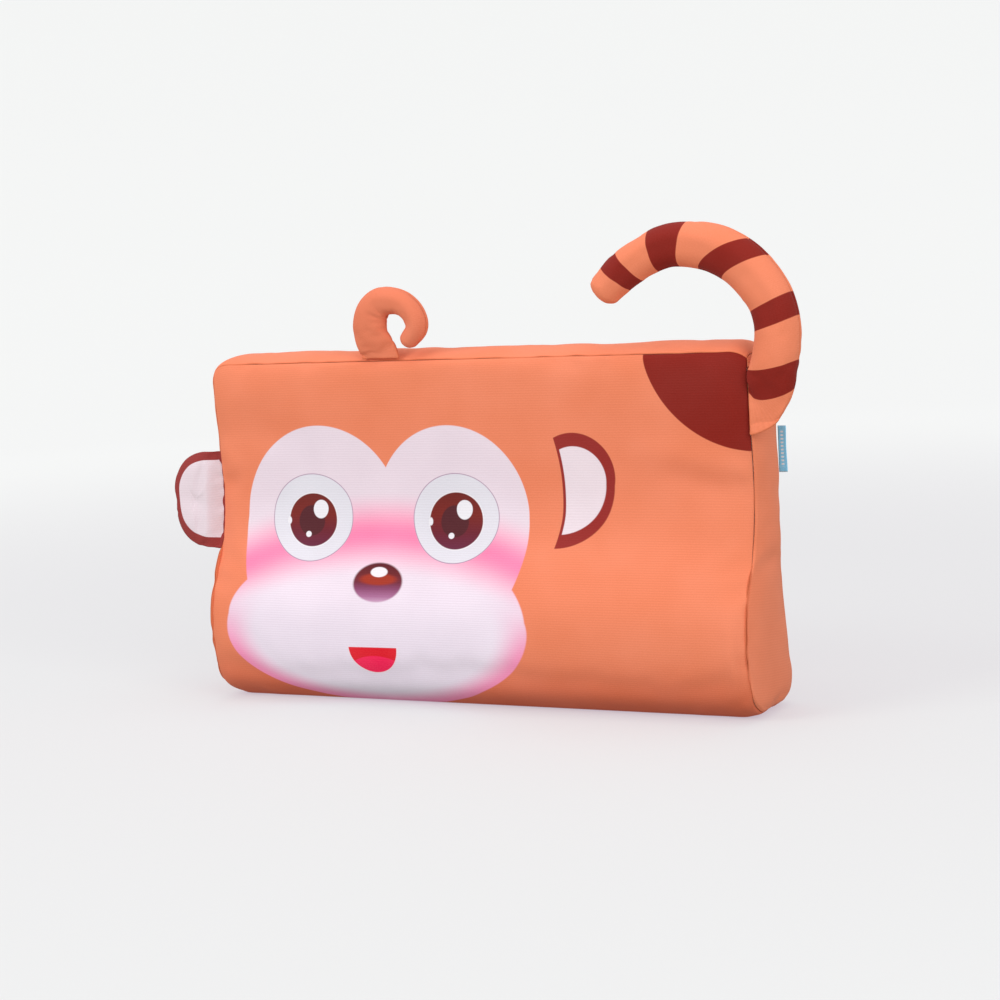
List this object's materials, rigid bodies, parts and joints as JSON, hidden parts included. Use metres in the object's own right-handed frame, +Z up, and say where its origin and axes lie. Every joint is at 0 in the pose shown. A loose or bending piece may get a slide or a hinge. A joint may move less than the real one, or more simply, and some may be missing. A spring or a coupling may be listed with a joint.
{
  "type": "stuffed monkey pillow",
  "caption": "Contour foam pillow in a zipped knit cover shaped and printed as a monkey, with a stuffed tail, a hair curl and a sewn ear.",
  "frame": {"origin": "on the floor, under the middle of the pillow's flat base", "axes": "+X along the pillow's length towards the end with the tail, +Y towards the plain back, +Z up"},
  "size_m": [0.5814, 0.1065, 0.3943],
  "materials": {
    "printed_knit": "coral knitted jersey printed with an animal face",
    "orange_knit": "plain coral knitted jersey",
    "striped_knit": "coral knitted jersey with brown bands",
    "ear_print": "lilac knit with a brown-red border",
    "woven_tag": "blue woven ribbon",
    "foam": "open-cell moulded foam",
    "liner_cloth": "white knitted liner",
    "fibre_filling": "white polyester fibre",
    "zip_tape": "coral woven tape",
    "zip_coil": "coral moulded coil",
    "zip_metal": "satin nickel"
  },
  "bodies": {
    "cushion": {"foam_core": "foam", "inner_liner": "liner_cloth", "liner_zip": "liner_cloth", "front_panel": "printed_knit", "back_panel": "orange_knit", "top_strip": "orange_knit", "right_end_panel": "orange_knit", "left_end_panel": "orange_knit", "zip_tape_upper": "zip_tape", "zip_tape_lower": "zip_tape", "zip_coil_upper": "zip_coil", "zip_coil_lower": "zip_coil", "zip_top_stop": "zip_metal", "zip_bottom_stop": "zip_metal"},
    "tail": {"tail_front_panel": "striped_knit", "tail_back_panel": "striped_knit", "tail_filling": "fibre_filling"},
    "hair_curl": {"curl_front_panel": "orange_knit", "curl_back_panel": "orange_knit", "curl_filling": "fibre_filling"},
    "ear": {"ear_front_panel": "ear_print", "ear_back_panel": "ear_print", "ear_wadding": "fibre_filling"},
    "side_label": {"side_label": "woven_tag"},
    "zip_slider": {"zip_slider": "zip_metal"},
    "zip_pull": {"zip_pull": "zip_metal"}
  },
  "joints": [
    {"name": "tail_swing", "type": "hinge", "parent": "cushion", "child": "tail", "pos_m": [0.2485, -0.029, 0.252], "axis": [0, 0, 1], "range_deg": [-45, 20], "stiffness_Nm_per_rad": 0.05},
    {"name": "curl_flop", "type": "hinge", "parent": "cushion", "child": "hair_curl", "pos_m": [-0.077, -0.032, 0.296], "axis": [1, 0, 0], "range_deg": [-15, 60], "stiffness_Nm_per_rad": 0.03},
    {"name": "ear_fold", "type": "hinge", "parent": "cushion", "child": "ear", "pos_m": [-0.2494, -0.038, 0.13], "axis": [0, 0.0869, 0.9962], "range_deg": [-60, 90], "stiffness_Nm_per_rad": 0.02},
    {"name": "label_flap", "type": "hinge", "parent": "cushion", "child": "side_label", "pos_m": [0.2496, 0.0326, 0.2095], "axis": [0, 0, 1], "range_deg": [-50, 80], "stiffness_Nm_per_rad": 0.001},
    {"name": "zip_slide", "type": "slide", "parent": "cushion", "child": "zip_slider", "axis": [1, 0, 0], "range_m": [-0.376, 0]},
    {"name": "zip_pull_flip", "type": "hinge", "parent": "zip_slider", "child": "zip_pull", "pos_m": [0.188, 0.0371, 0.13], "axis": [0, 0, -1], "range_deg": [0, 170]}
  ]
}
